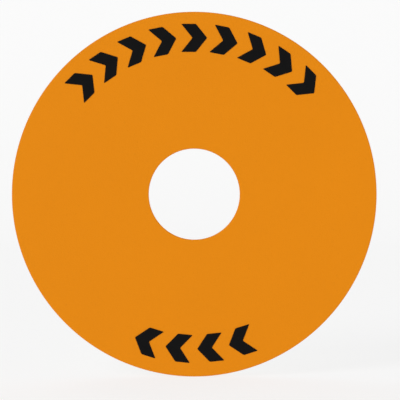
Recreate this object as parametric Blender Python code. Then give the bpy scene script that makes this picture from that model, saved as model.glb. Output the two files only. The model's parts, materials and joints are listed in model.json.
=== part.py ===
"""Round, self-adhesive legend plate for a 22 mm emergency-stop push button.

The plate is a flat yellow disc with a plain centre hole for the button's body. Two rows of
raised black ink marks stand where a legend would be printed: nine over the hole, four under it.
On its back is an adhesive ring, covered by a paper liner in two halves with a wavy slit between
them. Each half peels off from the slit outwards.

Everything is modelled lying flat, X to the right, Y up the legend and Z towards the reader.
The empty "upright" then stands it up as it is fitted to a panel: the legend faces -Y and its top
is +Z. The origin is the centre of the hole, in the plane where the adhesive meets the panel.
"""

import math

import bmesh
import bpy
from mathutils import Vector

MM = 0.001

# Plate
PLATE_DIAMETER = 90.0 * MM
HOLE_DIAMETER = 22.5 * MM
PLATE_THICKNESS = 1.5 * MM
FRONT_RIM_ROUND = 0.35 * MM
FRONT_HOLE_ROUND = 0.20 * MM
REAR_BREAK = 0.12 * MM

# Layers behind the plate
ADHESIVE_DIAMETER = 88.0 * MM
ADHESIVE_HOLE_DIAMETER = 24.5 * MM
ADHESIVE_THICKNESS = 0.20 * MM
LINER_THICKNESS = 0.15 * MM
BOND_GAP = 0.02 * MM  # keeps neighbouring layers separate solids; far thinner than any of them

# Slit between the liner's halves
SLIT_WIDTH = 0.3 * MM
SLIT_WAVE_HEIGHT = 1.6 * MM
SLIT_WAVE_LENGTH = 24.0 * MM
PEEL_LINE_BEYOND_RIM = 0.5 * MM

# Printed marks: chevrons that point clockwise, the way the button is turned to release it
MARK_LENGTH = 6.4 * MM  # along the row
MARK_HEIGHT = 6.9 * MM  # across the row
MARK_STROKE = 3.5 * MM  # along the row
MARK_CORNER_ROUND = 0.25 * MM
INK_THICKNESS = 0.08 * MM
UPPER_ROW_RADIUS = 38.5 * MM
UPPER_ROW_MARKS = 9
UPPER_ROW_PITCH = 11.3  # degrees
LOWER_ROW_RADIUS = 38.05 * MM
LOWER_ROW_MARKS = 4
LOWER_ROW_PITCH = 11.8  # degrees

# Fineness of the round shapes
ROUND_STEPS = 112
CORNER_STEPS = 3
WAVE_STEPS_PER_MM = 0.6

# Heights of the layers above the mounting plane
PLATE_REAR = ADHESIVE_THICKNESS + BOND_GAP
PLATE_FRONT = PLATE_REAR + PLATE_THICKNESS
LINER_FRONT = -BOND_GAP
LINER_REAR = LINER_FRONT - LINER_THICKNESS


def clear_scene():
    for obj in list(bpy.data.objects):
        bpy.data.objects.remove(obj)


def plain_material(name, colour, roughness, metallic=0.0):
    material = bpy.data.materials.new(name)
    material.use_nodes = True
    shader = material.node_tree.nodes["Principled BSDF"]
    shader.inputs["Base Color"].default_value = (*colour, 1.0)
    shader.inputs["Roughness"].default_value = roughness
    shader.inputs["Metallic"].default_value = metallic
    return material


def new_empty(name, parent=None, location=(0.0, 0.0, 0.0)):
    empty = bpy.data.objects.new(name, None)
    empty.empty_display_size = 10 * MM
    empty.parent = parent
    empty.location = location
    bpy.context.scene.collection.objects.link(empty)
    return empty


def new_object(name, mesh, material, parent, location=(0.0, 0.0, 0.0)):
    obj = bpy.data.objects.new(name, mesh)
    obj.parent = parent
    obj.location = location
    if not mesh.materials:
        mesh.materials.append(material)
    bpy.context.scene.collection.objects.link(obj)
    return obj


def mesh_from(name, builder, smooth_angle=30.0):
    """Turns a finished bmesh into a mesh, smooth where faces meet at less than smooth_angle."""
    bmesh.ops.recalc_face_normals(builder, faces=builder.faces)
    mesh = bpy.data.meshes.new(name)
    builder.to_mesh(mesh)
    builder.free()
    mesh.shade_smooth()
    mesh.set_sharp_from_angle(angle=math.radians(smooth_angle))
    return mesh


def rounded_corner(corner_r, corner_z, inward_r, inward_z, radius):
    """Points of a quarter round at a profile's corner; inward_r and inward_z are +1 or -1."""
    centre_r = corner_r + inward_r * radius
    centre_z = corner_z + inward_z * radius
    points = []
    for step in range(CORNER_STEPS + 1):
        turn = math.radians(90.0 * step / CORNER_STEPS)
        points.append(
            (
                centre_r - inward_r * radius * math.cos(turn),
                centre_z - inward_z * radius * math.sin(turn),
            )
        )
    return points


def turned_ring(name, profile):
    """A ring turned about Z from a closed profile of (radius, height) points."""
    builder = bmesh.new()
    points = [builder.verts.new((r, 0.0, z)) for r, z in profile]
    edges = [
        builder.edges.new((first, second))
        for first, second in zip(points, points[1:] + points[:1])
    ]
    bmesh.ops.spin(
        builder,
        geom=points + edges,
        cent=(0.0, 0.0, 0.0),
        axis=(0.0, 0.0, 1.0),
        angle=math.tau,
        steps=ROUND_STEPS,
        use_merge=True,
    )
    return mesh_from(name, builder)


def square_ring(name, outer_diameter, inner_diameter, low, high):
    outer, inner = outer_diameter / 2, inner_diameter / 2
    return turned_ring(name, [(outer, low), (outer, high), (inner, high), (inner, low)])


def legend_plate(parent):
    outer, inner = PLATE_DIAMETER / 2, HOLE_DIAMETER / 2
    profile = [
        (outer - REAR_BREAK, PLATE_REAR),
        (outer, PLATE_REAR + REAR_BREAK),
        *rounded_corner(outer, PLATE_FRONT, -1, -1, FRONT_RIM_ROUND),
        *reversed(rounded_corner(inner, PLATE_FRONT, 1, -1, FRONT_HOLE_ROUND)),
        (inner, PLATE_REAR + REAR_BREAK),
        (inner + REAR_BREAK, PLATE_REAR),
    ]
    yellow = plain_material("yellow_plastic", (0.78, 0.25, 0.004), 0.5)
    mesh = turned_ring("legend_plate", profile)
    return new_object("legend_plate", mesh, yellow, parent)


def adhesive_ring(parent):
    clear = plain_material("clear_adhesive", (0.72, 0.70, 0.62), 0.35)
    mesh = square_ring(
        "adhesive_ring", ADHESIVE_DIAMETER, ADHESIVE_HOLE_DIAMETER, 0.0, ADHESIVE_THICKNESS
    )
    return new_object("adhesive_ring", mesh, clear, parent)


def chevron_mesh():
    """One chevron, centred on its own origin: X is clockwise along the row, Y is outwards."""
    tail, tip, half = -MARK_LENGTH / 2, MARK_LENGTH / 2, MARK_HEIGHT / 2
    outline = [
        (tail, -half),
        (tail + MARK_STROKE, -half),
        (tip, 0.0),
        (tail + MARK_STROKE, half),
        (tail, half),
        (tip - MARK_STROKE, 0.0),
    ]
    builder = bmesh.new()
    corners = [builder.verts.new((x, y, 0.0)) for x, y in outline]
    builder.faces.new(corners)
    bmesh.ops.bevel(
        builder,
        geom=corners,
        offset=MARK_CORNER_ROUND,
        offset_type="OFFSET",
        segments=CORNER_STEPS,
        profile=0.5,
        affect="VERTICES",
    )
    lifted = bmesh.ops.extrude_face_region(builder, geom=builder.faces[:])["geom"]
    bmesh.ops.translate(
        builder,
        vec=(0.0, 0.0, INK_THICKNESS),
        verts=[item for item in lifted if isinstance(item, bmesh.types.BMVert)],
    )
    return mesh_from("ink_chevron", builder)


def row_of_marks(name, mesh, ink, parent, radius, middle, pitch, count):
    """Marks spaced along an arc about the hole; angles are degrees clockwise from the top."""
    for number in range(1, count + 1):
        angle = middle + pitch * (number - (count + 1) / 2)
        turn = math.radians(angle)
        place = (
            radius * math.sin(turn),
            radius * math.cos(turn),
            PLATE_FRONT + BOND_GAP,
        )
        mark = new_object(f"{name}_{number}", mesh, ink, parent, place)
        mark.rotation_euler.z = -turn


def printed_marks(parent):
    ink = plain_material("black_ink", (0.006, 0.006, 0.006), 0.45)
    mesh = chevron_mesh()
    row_of_marks(
        "upper_mark", mesh, ink, parent, UPPER_ROW_RADIUS, 0.0, UPPER_ROW_PITCH, UPPER_ROW_MARKS
    )
    row_of_marks(
        "lower_mark", mesh, ink, parent, LOWER_ROW_RADIUS, 180.0, LOWER_ROW_PITCH, LOWER_ROW_MARKS
    )


def slit_offset(height):
    """How far the slit's middle lies to the right of the hole's centre, at this height."""
    return SLIT_WAVE_HEIGHT * math.sin(math.tau * height / SLIT_WAVE_LENGTH)


def half_cutter(side, parent):
    """A thick slab over one half of the liner, with the slit's wave as its inner edge."""
    reach = PLATE_DIAMETER / 2 + 5 * MM
    steps = round(2 * reach / MM * WAVE_STEPS_PER_MM)
    heights = [reach * (2 * step / steps - 1) for step in range(steps + 1)]
    outline = [(slit_offset(y) + side * SLIT_WIDTH / 2, y) for y in heights]
    outline += [(side * reach, reach), (side * reach, -reach)]
    builder = bmesh.new()
    builder.faces.new([builder.verts.new((x, y, LINER_REAR - MM)) for x, y in outline])
    lifted = bmesh.ops.extrude_face_region(builder, geom=builder.faces[:])["geom"]
    bmesh.ops.translate(
        builder,
        vec=(0.0, 0.0, LINER_THICKNESS + 2 * MM),
        verts=[item for item in lifted if isinstance(item, bmesh.types.BMVert)],
    )
    name = "left_half_cutter" if side < 0 else "right_half_cutter"
    mesh = mesh_from(name, builder)
    cutter = new_object(name, mesh, plain_material(name, (0.8, 0.2, 0.2), 0.5), parent)
    cutter.hide_render = True
    cutter.display_type = "WIRE"
    return cutter


def liner_half(name, side, paper, upright):
    """One half of the liner; side is -1 for the left half and +1 for the right.

    Its parent empty lies on the line that it is peeled back about, tangent to the rim.
    """
    line = Vector((side * (ADHESIVE_DIAMETER / 2 + PEEL_LINE_BEYOND_RIM), 0.0, LINER_REAR))
    peel_line = new_empty(f"{name}_peel_line", upright, line)
    mesh = square_ring(
        name, ADHESIVE_DIAMETER, ADHESIVE_HOLE_DIAMETER, LINER_REAR, LINER_FRONT
    )
    half = new_object(name, mesh, paper, peel_line, -line)
    cut = half.modifiers.new("half", "BOOLEAN")
    cut.operation = "INTERSECT"
    cut.object = half_cutter(side, upright)
    return half


def main():
    clear_scene()
    upright = new_empty("upright")
    upright.rotation_euler.x = math.radians(90.0)
    legend_plate(upright)
    printed_marks(upright)
    adhesive_ring(upright)
    paper = plain_material("release_paper", (0.80, 0.78, 0.70), 0.6)
    liner_half("liner_left", -1, paper, upright)
    liner_half("liner_right", 1, paper, upright)


main()
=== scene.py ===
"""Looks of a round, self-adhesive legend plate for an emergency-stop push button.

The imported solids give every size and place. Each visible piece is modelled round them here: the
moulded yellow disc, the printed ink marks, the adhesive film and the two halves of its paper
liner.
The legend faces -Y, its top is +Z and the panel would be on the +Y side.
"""

import json
import math

import bmesh
import bpy
from mathutils import Matrix, Vector


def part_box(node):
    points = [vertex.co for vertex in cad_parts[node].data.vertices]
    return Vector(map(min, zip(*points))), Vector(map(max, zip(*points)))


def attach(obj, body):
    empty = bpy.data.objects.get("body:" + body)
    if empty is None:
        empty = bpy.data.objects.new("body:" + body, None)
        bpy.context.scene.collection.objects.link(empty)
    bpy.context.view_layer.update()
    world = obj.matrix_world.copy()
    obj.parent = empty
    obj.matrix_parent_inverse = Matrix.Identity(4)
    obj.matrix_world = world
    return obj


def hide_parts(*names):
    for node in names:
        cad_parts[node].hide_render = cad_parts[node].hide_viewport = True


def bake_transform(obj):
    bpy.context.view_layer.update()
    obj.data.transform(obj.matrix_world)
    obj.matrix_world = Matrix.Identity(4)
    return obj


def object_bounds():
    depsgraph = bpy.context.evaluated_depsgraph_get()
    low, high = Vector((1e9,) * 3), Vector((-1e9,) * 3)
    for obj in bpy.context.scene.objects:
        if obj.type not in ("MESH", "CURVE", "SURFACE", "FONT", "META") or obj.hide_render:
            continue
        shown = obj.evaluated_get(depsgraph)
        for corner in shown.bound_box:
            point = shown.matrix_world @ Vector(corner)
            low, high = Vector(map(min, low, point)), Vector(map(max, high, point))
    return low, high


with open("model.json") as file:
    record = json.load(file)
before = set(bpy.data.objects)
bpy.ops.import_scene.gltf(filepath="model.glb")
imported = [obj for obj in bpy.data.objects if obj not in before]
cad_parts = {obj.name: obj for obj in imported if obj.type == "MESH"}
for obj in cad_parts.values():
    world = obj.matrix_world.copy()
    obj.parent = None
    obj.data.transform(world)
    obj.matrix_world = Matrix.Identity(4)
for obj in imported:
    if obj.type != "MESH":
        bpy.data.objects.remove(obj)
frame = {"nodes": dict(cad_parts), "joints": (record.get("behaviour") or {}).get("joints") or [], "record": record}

bl_info = {
    "name": "Legend plate",
    "version": (1, 0, 0),
    "blender": (4, 5, 0),
    "location": "View3D > Sidebar > Legend plate",
    "description": "Models a round push button legend plate with its ink, adhesive and liner",
    "category": "Add Mesh",
}

CAD_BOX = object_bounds()
MM = 0.001
FACING_READER = (math.pi / 2, 0.0, 0.0)
TOUCHING = 1e-6  # how near a point counts as on an edge or a plane
SAME_POINT = 1e-7  # points this near are merged
FLAT_FRAME = 0.3 * MM  # width of the loop just inside a large flat face
RIM_STEPS = 256  # sides of the circles of the disc and the paper
FILM_STEPS = 192  # sides of the adhesive's circles
SWEEP_STEPS = 24  # flats along the backdrop's curve
PAPER_RINGS = 31  # cuts between the paper's hole and its rim
LIFT_START = 1.7  # radians: where the unevenness of the paper's lift starts at the hole's height
FIRST_COLOUR, SECOND_COLOUR, BLENDED_COLOUR = 6, 7, 2  # sockets of a Mix node set to colour

# Where the lights stand
FRONT_LEFT = (-0.9, -1.0, 0.9)
FRONT_RIGHT = (1.2, -0.7, 0.5)
BEHIND = (-0.6, 0.9, 1.2)

ROWS = {
    "upper": [n for n in sorted(frame["nodes"]) if n.startswith("upper_mark")],
    "lower": [n for n in sorted(frame["nodes"]) if n.startswith("lower_mark")],
}


# ---------------------------------------------------------------- sizes read from the solids


def size_across(node):
    low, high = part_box(node)
    return high.x - low.x


def hole_across(node):
    """Diameter of the round hole in a node that goes all the way round."""
    points = frame["nodes"][node].data.vertices
    return 2 * min(math.hypot(p.co.x, p.co.z) for p in points)


def surface_centre(node):
    """Middle of a node's surface, which turns and moves exactly as the node does."""
    faces = frame["nodes"][node].data.polygons
    whole = sum(face.area for face in faces)
    return sum((face.center * face.area for face in faces), Vector()) / whole


def mark_places():
    """(name, angle, radius) of every mark; angles run clockwise from the top.

    A chevron's surface centre lies a little ahead of its middle, by the same lead on each one.
    The upper row's middle mark stands upright, so its centre gives that lead directly.
    """
    middle = ROWS["upper"][len(ROWS["upper"]) // 2]
    lead = surface_centre(middle).x
    places = []
    for row in ROWS.values():
        for node in row:
            centre = surface_centre(node)
            radius = math.sqrt(centre.x**2 + centre.z**2 - lead**2)
            angle = math.atan2(centre.x, centre.z) - math.atan2(lead, radius)
            places.append((node, angle, radius))
    return places


# ---------------------------------------------------------------- properties


def length(name, default, description):
    return bpy.props.FloatProperty(
        name=name, default=default, description=description, min=0.0, unit="LENGTH", precision=5
    )


def colour(name, default, description):
    return bpy.props.FloatVectorProperty(
        name=name, default=default, description=description, subtype="COLOR", min=0.0, max=1.0
    )


def share(name, default, description):
    return bpy.props.FloatProperty(
        name=name, default=default, description=description, min=0.0, max=1.0, subtype="FACTOR"
    )


def strength(name, default, description):
    return bpy.props.FloatProperty(name=name, default=default, description=description, min=0.0)


class DiscSettings(bpy.types.PropertyGroup):
    front_round: length("Front rim round", 0.35 * MM, "Radius moulded on the front rim")
    hole_round: length("Hole round", 0.2 * MM, "Radius on the front edge of the hole")
    rear_break: length("Rear break", 0.12 * MM, "Width of the small break on the rear edges")
    plastic: colour("Plastic", (0.755, 0.236, 0.0005), "Colour of the moulded plastic")
    roughness: share("Roughness", 0.5, "How dull the plastic is")


class InkSettings(bpy.types.PropertyGroup):
    stroke: length("Stroke", 3.5 * MM, "Width of a chevron's arm along the row")
    corner: length("Corner", 0.25 * MM, "Radius of a mark's corners")
    shoulder: length("Shoulder", 0.03 * MM, "Width of the ink's soft front edge")
    ink: colour("Ink", (0.003, 0.003, 0.0032), "Colour of the printed ink")
    roughness: share("Roughness", 0.42, "How dull the ink is")


class BackingSettings(bpy.types.PropertyGroup):
    squeeze: length("Squeeze", 0.06 * MM, "Round on the adhesive's soft edges")
    adhesive: colour("Adhesive", (0.9, 0.76, 0.36), "Colour of the adhesive's milkiness")
    milkiness: share("Milkiness", 0.22, "How much the adhesive hides the plastic under it")
    slit: length("Slit", 0.3 * MM, "Gap between the liner's halves")
    wave_height: length("Wave height", 1.6 * MM, "How far the slit swings to each side")
    wave_length: length("Wave length", 24.0 * MM, "Length of one full swing of the slit")
    wave_reach: length("Wave reach", 12.0 * MM, "How far the wave's pull is felt in the mesh")
    lift: length("Lift", 0.12 * MM, "How far the paper has sprung up along the slit")
    lift_reach: length("Lift reach", 2.5 * MM, "Width of the sprung-up strip")
    lift_unevenness: share("Lift unevenness", 0.35, "Share of the lift that comes and goes")
    lift_wave: length("Lift wave", 31.0 * MM, "Distance along the slit in which it does so")
    curl: length("Curl", 40.0 * MM, "Width over which the paper curls as it is peeled")
    paper: colour("Paper", (0.80, 0.77, 0.66), "Colour of the release paper")


class StudioSettings(bpy.types.PropertyGroup):
    lens: bpy.props.FloatProperty(
        name="Lens", default=100.0, min=1.0, unit="CAMERA", description="The camera's focal length"
    )
    plate_share: share("Plate share", 0.9131, "Share of the picture's width that the plate fills")
    aim_right: length("Aim right", 1.42 * MM, "How far right of the hole the camera stands")
    aim_below: length("Aim below", 1.45 * MM, "How far below the hole's centre the camera stands")
    floor_size: length("Floor size", 8.0, "Width of the studio floor")
    sweep_start: length("Sweep start", 0.9, "Where the floor starts to curve up, behind the plate")
    sweep_radius: length("Sweep radius", 0.6, "Radius of the curve from floor to backdrop")
    backdrop: length("Backdrop", 1.6, "Height of the straight backdrop")
    acrylic: colour("Acrylic", (0.2, 0.2, 0.2), "What the lit floor adds of the light on it")
    glow: share("Glow", 0.76, "How bright the floor is from beneath")
    low_sky: share("Low sky", 0.94, "Brightness of the sky near the horizon")
    high_sky: share("High sky", 0.3, "Brightness of the sky overhead")
    softness: bpy.props.FloatProperty(
        name="Softness",
        default=math.radians(30),
        subtype="ANGLE",
        description="Angle that each light's source fills, which softens its shadows",
    )
    key_light: strength("Key light", 1.15, "Strength of the light from the left")
    fill_light: strength("Fill light", 0.35, "Strength of the light from the right")
    rear_light: strength("Rear light", 0.6, "Strength of the light behind")


# ---------------------------------------------------------------- modelling by operators


def deselect_all():
    bpy.ops.object.select_all(action="DESELECT")


def only(obj):
    deselect_all()
    obj.select_set(True)
    bpy.context.view_layer.objects.active = obj


def edit(obj):
    only(obj)
    bpy.ops.object.mode_set(mode="EDIT")


def leave_edit():
    bpy.ops.object.mode_set(mode="OBJECT")


def select(obj, kind, test):
    """In edit mode, selects the vertices, edges or faces that pass the test, and nothing else."""
    bpy.ops.mesh.select_mode(type=kind)
    bpy.ops.mesh.select_all(action="DESELECT")
    shape = bmesh.from_edit_mesh(obj.data)
    items = {"VERT": shape.verts, "EDGE": shape.edges, "FACE": shape.faces}[kind]
    for item in items:
        if test(item):
            item.select_set(True)
    shape.select_flush_mode()
    bmesh.update_edit_mesh(obj.data)


def on_circle(radius, y):
    """A test for edges that run along a circle about the hole's axis."""

    def test(edge):
        return all(
            abs(math.hypot(p.co.x, p.co.z) - radius) < TOUCHING and abs(p.co.y - y) < TOUCHING
            for p in edge.verts
        )

    return test


def place_in_mesh(obj):
    only(obj)
    bpy.ops.object.transform_apply(location=True, rotation=True, scale=True)


def finish_mesh(obj, smooth_degrees=35.0):
    """Faces outward, doubles merged, round shapes smooth and the place in the mesh."""
    edit(obj)
    bpy.ops.mesh.select_all(action="SELECT")
    bpy.ops.mesh.remove_doubles(threshold=SAME_POINT)
    bpy.ops.mesh.normals_make_consistent(inside=False)
    leave_edit()
    place_in_mesh(obj)
    bpy.ops.object.shade_smooth_by_angle(angle=math.radians(smooth_degrees))


def add_band(name, outer, inner, y, steps, cuts=0):
    """A flat ring that faces the reader, bridged between two circles."""
    deselect_all()
    bpy.ops.mesh.primitive_circle_add(
        vertices=steps, radius=outer, location=(0.0, y, 0.0), rotation=FACING_READER
    )
    band = bpy.context.object
    band.name = name
    edit(band)
    bpy.ops.mesh.primitive_circle_add(
        vertices=steps, radius=inner, location=(0.0, y, 0.0), rotation=FACING_READER
    )
    bpy.ops.mesh.select_all(action="SELECT")
    bpy.ops.mesh.bridge_edge_loops(number_cuts=cuts, interpolation="LINEAR")
    leave_edit()
    place_in_mesh(band)
    return band


def thicken(obj, depth):
    """Extrudes a flat outline along +Y into a closed solid."""
    edit(obj)
    bpy.ops.mesh.select_all(action="SELECT")
    bpy.ops.mesh.extrude_region_move(TRANSFORM_OT_translate={"value": (0.0, depth, 0.0)})
    bpy.ops.mesh.select_all(action="SELECT")
    bpy.ops.mesh.normals_make_consistent(inside=False)
    leave_edit()


def round_edges(obj, test, width, segments):
    edit(obj)
    select(obj, "EDGE", test)
    bpy.ops.mesh.bevel(offset=width, segments=segments, profile=0.5, affect="EDGES")
    leave_edit()


def frame_flat_faces(obj, y, width):
    """Insets the flat faces at a depth, which keeps their shading flat up to the rounded edges."""
    edit(obj)
    select(obj, "FACE", lambda face: all(abs(p.co.y - y) < TOUCHING for p in face.verts))
    bpy.ops.mesh.inset(thickness=width)
    leave_edit()


# ---------------------------------------------------------------- materials


class Value:
    """A shader value that can be used in sums: each operator adds the Math node for it."""

    def __init__(self, tree, socket):
        self.tree = tree
        self.socket = socket

    def maths(self, operation, *values):
        node = self.tree.nodes.new("ShaderNodeMath")
        node.operation = operation
        for slot, value in zip(node.inputs, values):
            connect(self.tree, slot, value)
        return Value(self.tree, node.outputs[0])

    def __add__(self, other):
        return self.maths("ADD", self, other)

    def __radd__(self, other):
        return self.maths("ADD", other, self)

    def __sub__(self, other):
        return self.maths("SUBTRACT", self, other)

    def __rsub__(self, other):
        return self.maths("SUBTRACT", other, self)

    def __mul__(self, other):
        return self.maths("MULTIPLY", self, other)

    def __rmul__(self, other):
        return self.maths("MULTIPLY", other, self)


def connect(tree, slot, value):
    if isinstance(value, Value):
        tree.links.new(value.socket, slot)
    else:
        slot.default_value = value


class Nodes:
    """The node tree of a material or of the sky, and the ways to add to it."""

    def __init__(self, tree):
        self.tree = tree
        self.place = self.node("ShaderNodeTexCoord", output="Object")

    def node(self, kind, settings=None, sockets=None, output=0):
        """Adds a node. Its settings come first, then the values or links of its sockets."""
        node = self.tree.nodes.new(kind)
        for name, value in (settings or {}).items():
            setattr(node, name, value)
        for name, value in (sockets or {}).items():
            connect(self.tree, node.inputs[name], value)
        return Value(self.tree, node.outputs[output])

    def noise(self, feature, detail=2.0, roughness=0.5, at=None):
        """Soft random values about 0.5, whose lumps are about `feature` metres wide."""
        return self.node(
            "ShaderNodeTexNoise",
            sockets={
                "Vector": at or self.place,
                "Scale": 1.0 / feature,
                "Detail": detail,
                "Roughness": roughness,
            },
        )

    def stretched(self, x, y, z):
        return self.node(
            "ShaderNodeMapping", sockets={"Vector": self.place, "Scale": (x, y, z)}
        )

    def step_up(self, value, low, high):
        """0 below low, 1 above high, smooth between."""
        return self.node(
            "ShaderNodeMapRange",
            {"interpolation_type": "SMOOTHSTEP"},
            {"Value": value, "From Min": low, "From Max": high},
        )

    def blend_colours(self, share_of_second, first, second):
        return self.node(
            "ShaderNodeMix",
            {"data_type": "RGBA"},
            {"Factor": share_of_second, FIRST_COLOUR: first, SECOND_COLOUR: second},
            BLENDED_COLOUR,
        )

    def along(self, axis):
        """How far the place lies along an axis."""
        return self.node(
            "ShaderNodeVectorMath", {"operation": "DOT_PRODUCT"}, {0: self.place, 1: axis}, "Value"
        )

    def radius(self):
        """Distance from the hole's axis."""
        flat = self.node(
            "ShaderNodeVectorMath",
            {"operation": "MULTIPLY"},
            {0: self.place, 1: (1.0, 0.0, 1.0)},
        )
        return self.node("ShaderNodeVectorMath", {"operation": "LENGTH"}, {0: flat}, "Value")


class Finish(Nodes):
    """A material being made: a Principled BSDF and the nodes that feed it."""

    def __init__(self, name, **constants):
        self.material = bpy.data.materials.new(name)
        self.material.use_nodes = True
        super().__init__(self.material.node_tree)
        self.shader = self.tree.nodes["Principled BSDF"]
        for socket, value in constants.items():
            self.shader.inputs[socket.replace("_", " ")].default_value = value

    def feed(self, socket, value):
        connect(self.tree, self.shader.inputs[socket], value)

    def bump(self, height, depth):
        """Feeds Normal with a relief `depth` metres deep where height goes from 0 to 1."""
        self.feed(
            "Normal",
            self.node(
                "ShaderNodeBump", sockets={"Strength": 1.0, "Distance": depth, "Height": height}
            ),
        )

    def shades(self, value, rgb, darkest, lightest):
        """A colour that goes from darkest to lightest times itself as a value goes from 0 to 1."""
        return self.blend_colours(value, tint(rgb, by=darkest), tint(rgb, by=lightest))


def tint(rgb, by):
    """A colour made lighter or darker by a factor, with its alpha."""
    return (*(min(1.0, level * by) for level in rgb), 1.0)


def moulded_plastic(settings, rim_radius):
    """Satin yellow plastic with a spark-eroded grain and a slightly polished rim."""
    finish = Finish("moulded_yellow_plastic", IOR=1.46, Specular_IOR_Level=0.13)
    clouds = finish.noise(feature=22 * MM, detail=3.0)
    flecks = finish.noise(feature=0.6 * MM, detail=2.0)
    grain = finish.noise(feature=0.28 * MM, detail=2.0, roughness=0.55)
    along_rows = finish.stretched(1.0, 1.0, 0.12)
    scuffs = finish.noise(feature=1.2 * MM, detail=4.0, at=along_rows)
    near_rim = finish.step_up(finish.radius(), low=rim_radius - 0.8 * MM, high=rim_radius)

    even = finish.shades(clouds, settings.plastic, darkest=0.975, lightest=1.025)
    fleck_colour = tint(settings.plastic, by=0.86)
    fleck_cover = finish.step_up(flecks, low=0.60, high=0.78) * 0.3
    finish.feed("Base Color", finish.blend_colours(fleck_cover, even, fleck_colour))
    satin = settings.roughness + (grain - 0.5) * 0.16 + (scuffs - 0.5) * 0.08
    finish.feed("Roughness", satin - near_rim * 0.08)
    finish.bump(grain * 0.7 + flecks * 0.3, depth=0.08 * MM)
    return finish.material


def screen_ink(settings):
    """Satin black ink with the faint weave that the printing mesh leaves."""
    finish = Finish("screen_printed_ink", IOR=1.5, Specular_IOR_Level=0.07)
    patches = finish.noise(feature=3 * MM, detail=3.0)
    mesh_marks = finish.noise(feature=0.12 * MM, detail=1.0)
    finish.feed("Base Color", finish.shades(patches, settings.ink, darkest=0.75, lightest=1.5))
    finish.feed("Roughness", settings.roughness + (patches - 0.5) * 0.12)
    finish.bump(mesh_marks, depth=0.005 * MM)
    return finish.material


def adhesive_film(settings):
    """Clear, slightly milky adhesive with a soft orange-peel surface."""
    finish = Finish("clear_adhesive_film", IOR=1.48, Alpha=settings.milkiness)
    milk = finish.noise(feature=6 * MM, detail=3.0)
    finish.feed("Base Color", finish.shades(milk, settings.adhesive, darkest=0.94, lightest=1.05))
    finish.feed("Roughness", 0.16 + milk * 0.14)
    finish.bump(finish.noise(feature=0.9 * MM, detail=2.0), depth=0.02 * MM)
    return finish.material


def release_paper(settings):
    """Silicone-coated glassine: pale and even, with fine crossed fibres and a low sheen."""
    finish = Finish("release_paper", IOR=1.42, Specular_IOR_Level=0.35)
    clouds = finish.noise(feature=9 * MM, detail=2.0)
    lying = finish.noise(feature=0.35 * MM, detail=3.0, at=finish.stretched(0.2, 1.0, 1.0))
    upright = finish.noise(feature=0.35 * MM, detail=3.0, at=finish.stretched(1.0, 1.0, 0.2))
    fibres = upright * 0.5 + lying * 0.5
    specks = finish.step_up(finish.noise(feature=0.5 * MM, detail=1.0), low=0.70, high=0.78)

    sheet = finish.shades(
        clouds * 0.4 + fibres * 0.6, settings.paper, darkest=0.93, lightest=1.07
    )
    speck_colour = tint(settings.paper, by=0.8)
    finish.feed("Base Color", finish.blend_colours(specks * 0.3, sheet, speck_colour))
    finish.feed("Roughness", 0.36 + (clouds - 0.5) * 0.1 + (fibres - 0.5) * 0.12)
    finish.bump(fibres, depth=0.008 * MM)
    return finish.material


def lit_acrylic(settings):
    """The white studio floor: a matt acrylic sheet lit from beneath, so that shadows stay pale."""
    finish = Finish("lit_white_acrylic", Roughness=0.9, Specular_IOR_Level=0.0)
    clouds = finish.noise(feature=350 * MM, detail=2.0)
    finish.feed("Base Color", finish.shades(clouds, settings.acrylic, darkest=0.98, lightest=1.02))
    finish.shader.inputs["Emission Color"].default_value = (1.0, 1.0, 0.998, 1.0)
    finish.shader.inputs["Emission Strength"].default_value = settings.glow
    return finish.material


def dress(obj, material, body, slot, *nodes):
    """Gives a piece its material, hides the solids it stands for and hangs it on its body, if it has one."""
    obj.data.materials.clear()
    obj.data.materials.append(material)
    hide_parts(*nodes)
    if body:
        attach(obj, body)


# ---------------------------------------------------------------- pieces


class LEGENDPLATE_OT_add_disc(bpy.types.Operator):
    """Model the yellow disc with its rounded rim and centre hole"""

    bl_idname = "legendplate.add_disc"
    bl_label = "Yellow disc"

    def execute(self, context):
        settings = context.scene.legendplate_disc
        low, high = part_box("legend_plate")
        outer, inner = size_across("legend_plate") / 2, hole_across("legend_plate") / 2
        disc = add_band("yellow_disc", outer, inner, low.y, steps=RIM_STEPS)
        thicken(disc, high.y - low.y)
        round_edges(disc, on_circle(outer, low.y), settings.front_round, segments=6)
        round_edges(disc, on_circle(inner, low.y), settings.hole_round, segments=5)
        round_edges(disc, on_circle(outer, high.y), settings.rear_break, segments=2)
        round_edges(disc, on_circle(inner, high.y), settings.rear_break, segments=2)
        for y in (low.y, high.y):
            frame_flat_faces(disc, y, FLAT_FRAME)
        finish_mesh(disc)
        dress(disc, moulded_plastic(settings, outer), "plate", "yellow_plastic", "legend_plate")
        return {"FINISHED"}


class LEGENDPLATE_OT_add_marks(bpy.types.Operator):
    """Print the two rows of ink chevrons"""

    bl_idname = "legendplate.add_marks"
    bl_label = "Ink marks"

    def execute(self, context):
        settings = context.scene.legendplate_ink
        pattern = chevron(settings)
        ink = screen_ink(settings)
        for node, angle, radius in mark_places():
            only(pattern)
            bpy.ops.object.duplicate(linked=False)
            mark = bpy.context.object
            mark.name = f"ink_{node}"
            mark.matrix_world = Matrix.Rotation(angle, 4, "Y") @ Matrix.Translation((0, 0, radius))
            place_in_mesh(mark)
            dress(mark, ink, "plate", "black_ink", node)
        bpy.data.objects.remove(pattern)
        return {"FINISHED"}


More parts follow.
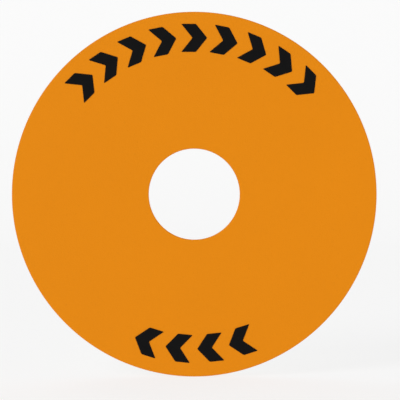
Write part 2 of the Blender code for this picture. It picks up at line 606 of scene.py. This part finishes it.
def chevron(settings):
    """One mark of ink, pointing to +X, made at the hole's height and as deep as its solid.

    Rounding the corners shortens it, so at the end it is stretched back to its solid's size.
    """
    low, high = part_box(ROWS["upper"][len(ROWS["upper"]) // 2])
    length_along, height = high.x - low.x, high.z - low.z
    tail = -length_along / 2
    lean = length_along - settings.stroke
    deselect_all()
    bpy.ops.mesh.primitive_plane_add(
        size=1.0,
        location=(tail + settings.stroke / 2, low.y, -height / 4),
        rotation=FACING_READER,
    )
    mark = bpy.context.object
    mark.name = "chevron_pattern"
    mark.scale = (settings.stroke, height / 2, 1.0)
    place_in_mesh(mark)
    edit(mark)
    select(mark, "EDGE", lambda edge: all(p.co.z > -TOUCHING for p in edge.verts))
    bpy.ops.transform.translate(value=(lean, 0.0, 0.0))
    bpy.ops.mesh.extrude_region_move(
        TRANSFORM_OT_translate={"value": (-lean, 0.0, height / 2)}
    )
    leave_edit()
    thicken(mark, high.y - low.y)
    round_edges(mark, runs_front_to_back, settings.corner, segments=5)
    round_edges(mark, lambda edge: is_outline(edge, low.y), settings.shoulder, segments=3)
    frame_flat_faces(mark, low.y, settings.shoulder)
    finish_mesh(mark)
    mark.scale = (length_along / mark.dimensions.x, 1.0, height / mark.dimensions.z)
    place_in_mesh(mark)
    mark.location.x = low.x - min(p.co.x for p in mark.data.vertices)
    place_in_mesh(mark)
    return mark


def runs_front_to_back(edge):
    first, second = (p.co for p in edge.verts)
    return abs(first.y - second.y) > TOUCHING


def is_outline(edge, y):
    """An edge of the face at this depth that has a side wall on its other side."""
    flat = all(abs(p.co.y - y) < TOUCHING for p in edge.verts)
    return flat and any(abs(face.normal.y) < 0.5 for face in edge.link_faces)


class LEGENDPLATE_OT_add_adhesive(bpy.types.Operator):
    """Lay the ring of adhesive film on the disc's back"""

    bl_idname = "legendplate.add_adhesive"
    bl_label = "Adhesive film"

    def execute(self, context):
        settings = context.scene.legendplate_backing
        low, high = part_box("adhesive_ring")
        outer, inner = size_across("adhesive_ring") / 2, hole_across("adhesive_ring") / 2
        film = add_band("adhesive_film", outer, inner, low.y, steps=FILM_STEPS)
        thicken(film, high.y - low.y)
        for radius in (outer, inner):
            for y in (low.y, high.y):
                round_edges(film, on_circle(radius, y), settings.squeeze, segments=3)
        for y in (low.y, high.y):
            frame_flat_faces(film, y, FLAT_FRAME)
        finish_mesh(film)
        dress(film, adhesive_film(settings), "plate", "clear_adhesive", "adhesive_ring")
        return {"FINISHED"}


class LEGENDPLATE_OT_add_liner(bpy.types.Operator):
    """Cover the adhesive with the two halves of the release liner"""

    bl_idname = "legendplate.add_liner"
    bl_label = "Release liner"

    def execute(self, context):
        settings = context.scene.legendplate_backing
        paper = release_paper(settings)
        for joint in frame["joints"]:
            node = frame["record"]["behaviour"]["bodies"][joint["child"]][0]
            half = liner_half(settings, node, math.copysign(1.0, joint["pos_m"][0]))
            dress(half, paper, None, "release_paper", node)
            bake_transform(half)
        return {"FINISHED"}


def liner_half(settings, node, side):
    """Half of the liner; side is -1 for the left half and +1 for the right one."""
    low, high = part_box(node)
    outer, inner = size_across("adhesive_ring") / 2, hole_across("adhesive_ring") / 2
    half = add_band(f"paper_{node}", outer, inner, low.y, steps=RIM_STEPS, cuts=PAPER_RINGS)
    edit(half)
    bpy.ops.mesh.select_all(action="SELECT")
    bpy.ops.mesh.bisect(
        plane_co=(side * settings.slit / 2, 0.0, 0.0), plane_no=(-side, 0.0, 0.0), clear_outer=True
    )
    leave_edit()
    for point in half.data.vertices:
        shape_liner_point(settings, point, side)
    thicken(half, high.y - low.y)
    finish_mesh(half, smooth_degrees=40.0)
    return half


def shape_liner_point(settings, point, side):
    """Pulls the slit's edge into its wave and lets the paper spring up beside it."""
    off_slit = max(0.0, side * point.co.x - settings.slit / 2)
    pull = 1.0 - smooth(off_slit / settings.wave_reach)
    wave = math.sin(math.tau * point.co.z / settings.wave_length)
    point.co.x += pull * settings.wave_height * wave
    spring = math.exp(-((off_slit / settings.lift_reach) ** 2))
    swell = math.sin(LIFT_START + math.tau * point.co.z / settings.lift_wave)
    even_share = 1.0 - settings.lift_unevenness
    point.co.y += settings.lift * spring * (even_share + settings.lift_unevenness * swell)


def smooth(t):
    """0 up to 0, 1 from 1 on, and an even S between."""
    t = min(1.0, max(0.0, t))
    return t * t * (3 - 2 * t)


# ---------------------------------------------------------------- studio


class LEGENDPLATE_OT_add_studio(bpy.types.Operator):
    """Set up the floor, the soft lights and the camera"""

    bl_idname = "legendplate.add_studio"
    bl_label = "Studio"

    def execute(self, context):
        settings = context.scene.legendplate_studio
        add_floor(settings)
        add_lights(settings)
        add_sky(context.scene, settings)
        add_camera(context.scene, settings)
        context.scene.view_settings.view_transform = "Standard"
        return {"FINISHED"}


def add_floor(settings):
    """A floor all round that curves up into a backdrop far behind the plate."""
    base = CAD_BOX[0].z
    middle = settings.sweep_start - settings.floor_size / 2
    deselect_all()
    bpy.ops.mesh.primitive_plane_add(size=settings.floor_size, location=(0.0, middle, base))
    floor = bpy.context.object
    floor.name = "studio_floor"
    place_in_mesh(floor)
    edit(floor)
    select(
        floor,
        "EDGE",
        lambda edge: all(abs(p.co.y - settings.sweep_start) < TOUCHING for p in edge.verts),
    )
    bpy.ops.mesh.spin(
        steps=SWEEP_STEPS,
        angle=-math.pi / 2,
        center=(0.0, settings.sweep_start, base + settings.sweep_radius),
        axis=(1.0, 0.0, 0.0),
    )
    bpy.ops.mesh.extrude_region_move(
        TRANSFORM_OT_translate={"value": (0.0, 0.0, settings.backdrop)}
    )
    leave_edit()
    place_in_mesh(floor)
    bpy.ops.object.shade_smooth()
    floor.data.materials.append(lit_acrylic(settings))


def add_soft_light(name, place, energy, settings):
    """A broad light that reaches the plate from the direction of a place."""
    deselect_all()
    bpy.ops.object.light_add(type="SUN", location=place)
    light = bpy.context.object
    light.name = name
    light.data.energy = energy
    light.data.angle = settings.softness
    light.rotation_euler = (-Vector(place)).to_track_quat("-Z", "Y").to_euler()


def add_lights(settings):
    add_soft_light("key_light", FRONT_LEFT, settings.key_light, settings)
    add_soft_light("fill_light", FRONT_RIGHT, settings.fill_light, settings)
    add_soft_light("rear_light", BEHIND, settings.rear_light, settings)


def add_sky(scene, settings):
    """A sky that is white all round the horizon and dims overhead, which leaves some shade."""
    world = bpy.data.worlds.new("studio_sky")
    world.use_nodes = True
    sky = Nodes(world.node_tree)
    overhead = sky.step_up(sky.along((0.0, 0.0, 1.0)), low=0.15, high=0.6)
    white = (1.0, 1.0, 1.0)
    grey = sky.blend_colours(
        overhead, tint(white, by=settings.low_sky), tint(white, by=settings.high_sky)
    )
    connect(sky.tree, sky.tree.nodes["Background"].inputs["Color"], grey)
    scene.world = world


def add_camera(scene, settings):
    """A camera square on to the plate, as far off as the plate's share of the picture asks."""
    deselect_all()
    bpy.ops.object.camera_add(rotation=FACING_READER)
    camera = bpy.context.object
    camera.name = "product_camera"
    camera.data.lens = settings.lens
    picture_width = size_across("legend_plate") / settings.plate_share
    distance = picture_width * settings.lens / camera.data.sensor_width
    rim_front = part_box("legend_plate")[0].y
    camera.location = (settings.aim_right, rim_front - distance, -settings.aim_below)
    camera.data.clip_start, camera.data.clip_end = 0.01, 20.0  # metres
    scene.camera = camera


# ---------------------------------------------------------------- add-on


PIECES = (
    LEGENDPLATE_OT_add_disc,
    LEGENDPLATE_OT_add_marks,
    LEGENDPLATE_OT_add_adhesive,
    LEGENDPLATE_OT_add_liner,
    LEGENDPLATE_OT_add_studio,
)

SETTINGS = {
    "legendplate_disc": DiscSettings,
    "legendplate_ink": InkSettings,
    "legendplate_backing": BackingSettings,
    "legendplate_studio": StudioSettings,
}


class LEGENDPLATE_PT_panel(bpy.types.Panel):
    """Lists the plate's pieces and their sizes"""

    bl_label = "Legend plate"
    bl_space_type = "VIEW_3D"
    bl_region_type = "UI"
    bl_category = "Legend plate"

    def draw(self, context):
        for group_name in SETTINGS:
            box = self.layout.box()
            group = getattr(context.scene, group_name)
            for name in group.bl_rna.properties.keys():
                if name not in {"rna_type", "name"}:
                    box.prop(group, name)
        for piece in PIECES:
            self.layout.operator(piece.bl_idname)


CLASSES = (*SETTINGS.values(), *PIECES, LEGENDPLATE_PT_panel)


def register():
    for cls in CLASSES:
        bpy.utils.register_class(cls)
    for name, group in SETTINGS.items():
        setattr(bpy.types.Scene, name, bpy.props.PointerProperty(type=group))


def unregister():
    for name in SETTINGS:
        delattr(bpy.types.Scene, name)
    for cls in reversed(CLASSES):
        bpy.utils.unregister_class(cls)


def main():
    register()
    bpy.ops.legendplate.add_disc()
    bpy.ops.legendplate.add_marks()
    bpy.ops.legendplate.add_adhesive()
    bpy.ops.legendplate.add_liner()
    bpy.ops.legendplate.add_studio()


if __name__ == "__main__":
    main()
